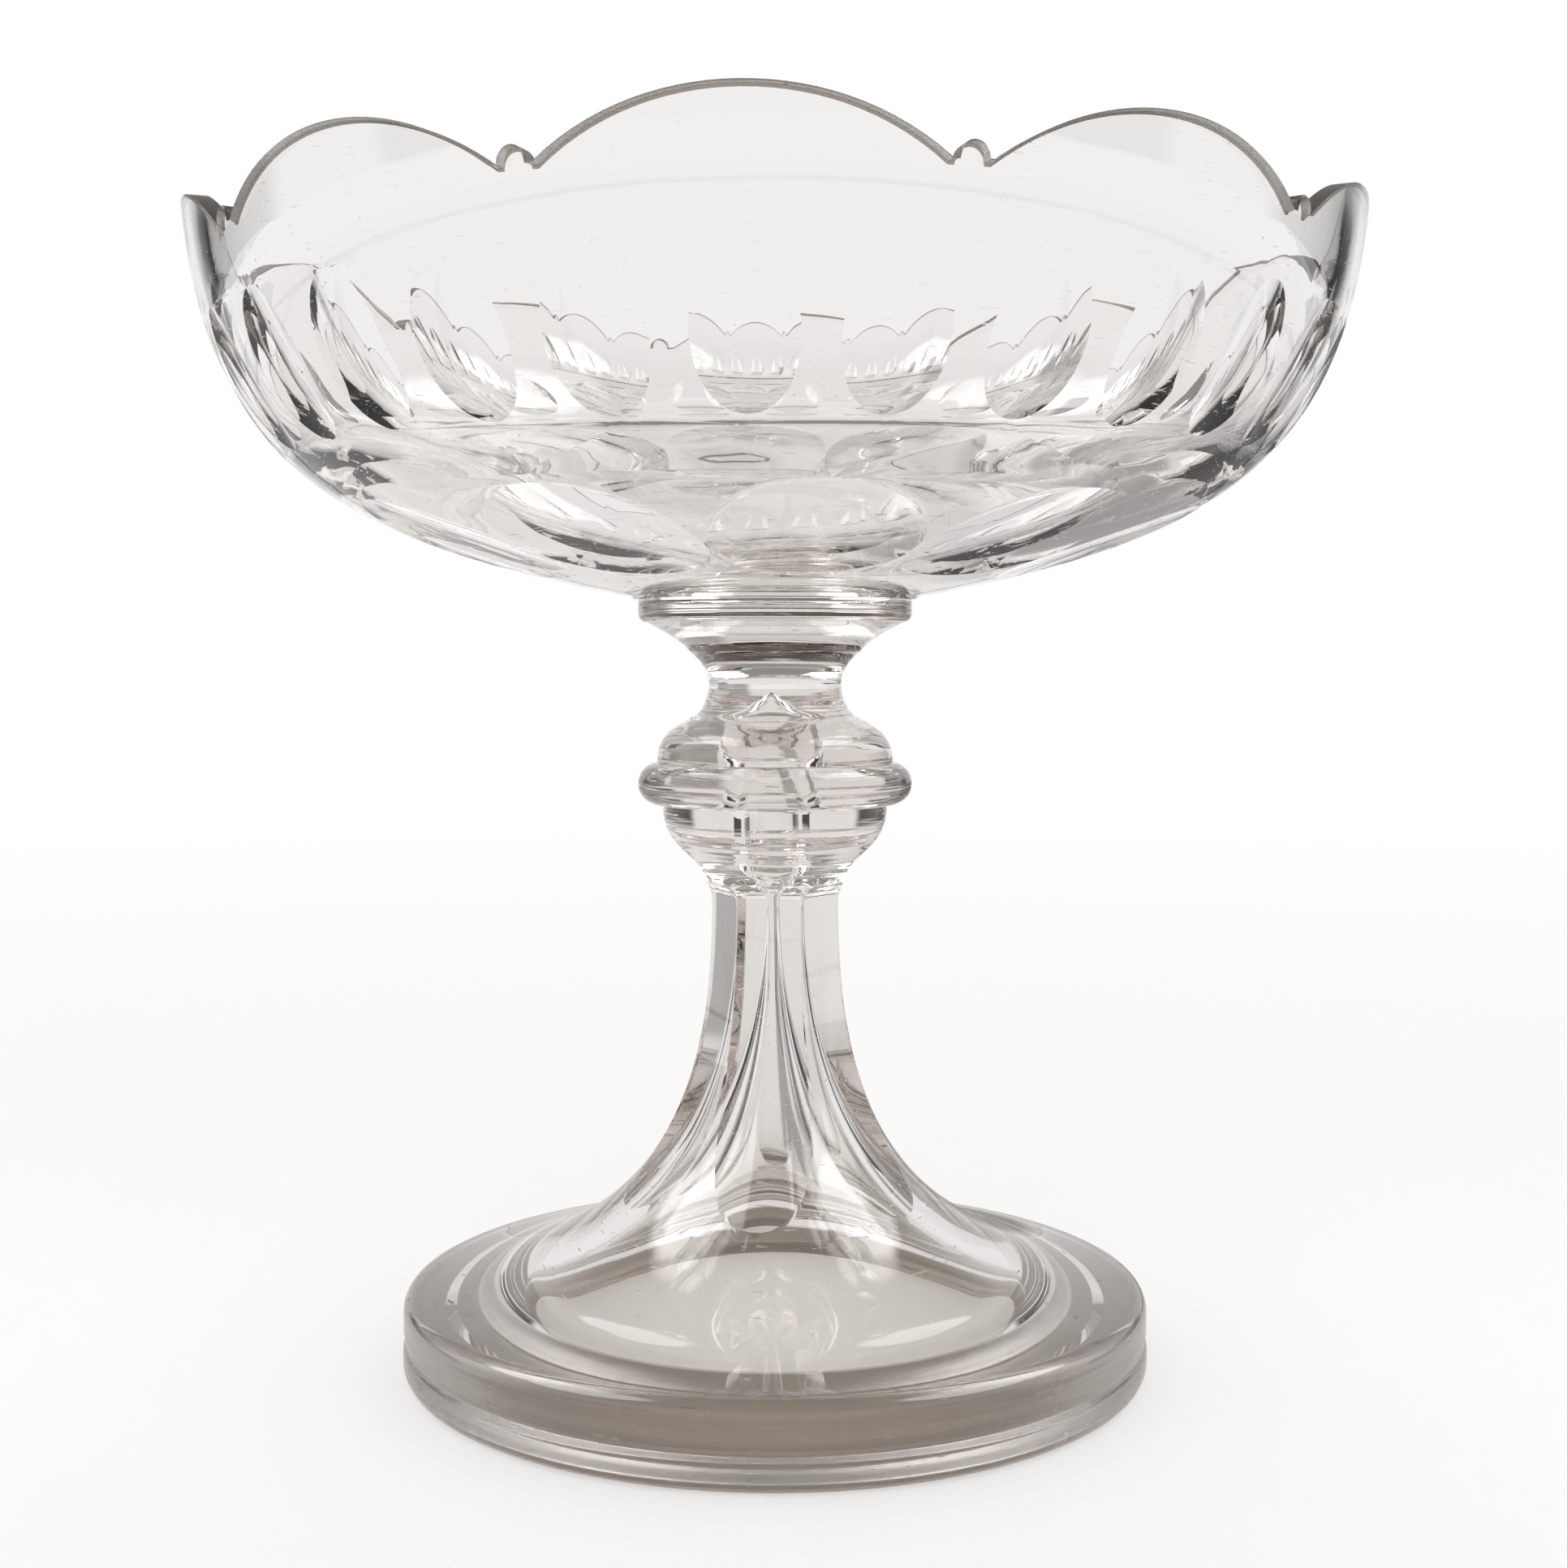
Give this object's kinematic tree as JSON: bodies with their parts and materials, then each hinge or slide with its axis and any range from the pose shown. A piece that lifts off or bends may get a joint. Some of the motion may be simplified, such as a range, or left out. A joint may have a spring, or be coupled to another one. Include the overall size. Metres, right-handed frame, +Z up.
{
  "type": "footed glass compote",
  "caption": "Clear cut-glass compote: a scalloped bowl with ground ovals on a hollow, panelled baluster stem and a thick round foot.",
  "frame": {"origin": "centre of the foot's underside, on the surface that the compote stands on", "axes": "+Z up along the axis of the stem; -Y is the front, the side that the picture shows"},
  "size_m": [0.2294, 0.2314, 0.2268],
  "materials": {
    "clear_glass": "polished"
  },
  "bodies": {
    "root": {"foot": "clear_glass", "stem": "clear_glass", "lower_knop": "clear_glass", "knop_ring": "clear_glass", "upper_knop": "clear_glass", "neck": "clear_glass", "collar_disc": "clear_glass", "bowl": "clear_glass"}
  },
  "joints": []
}
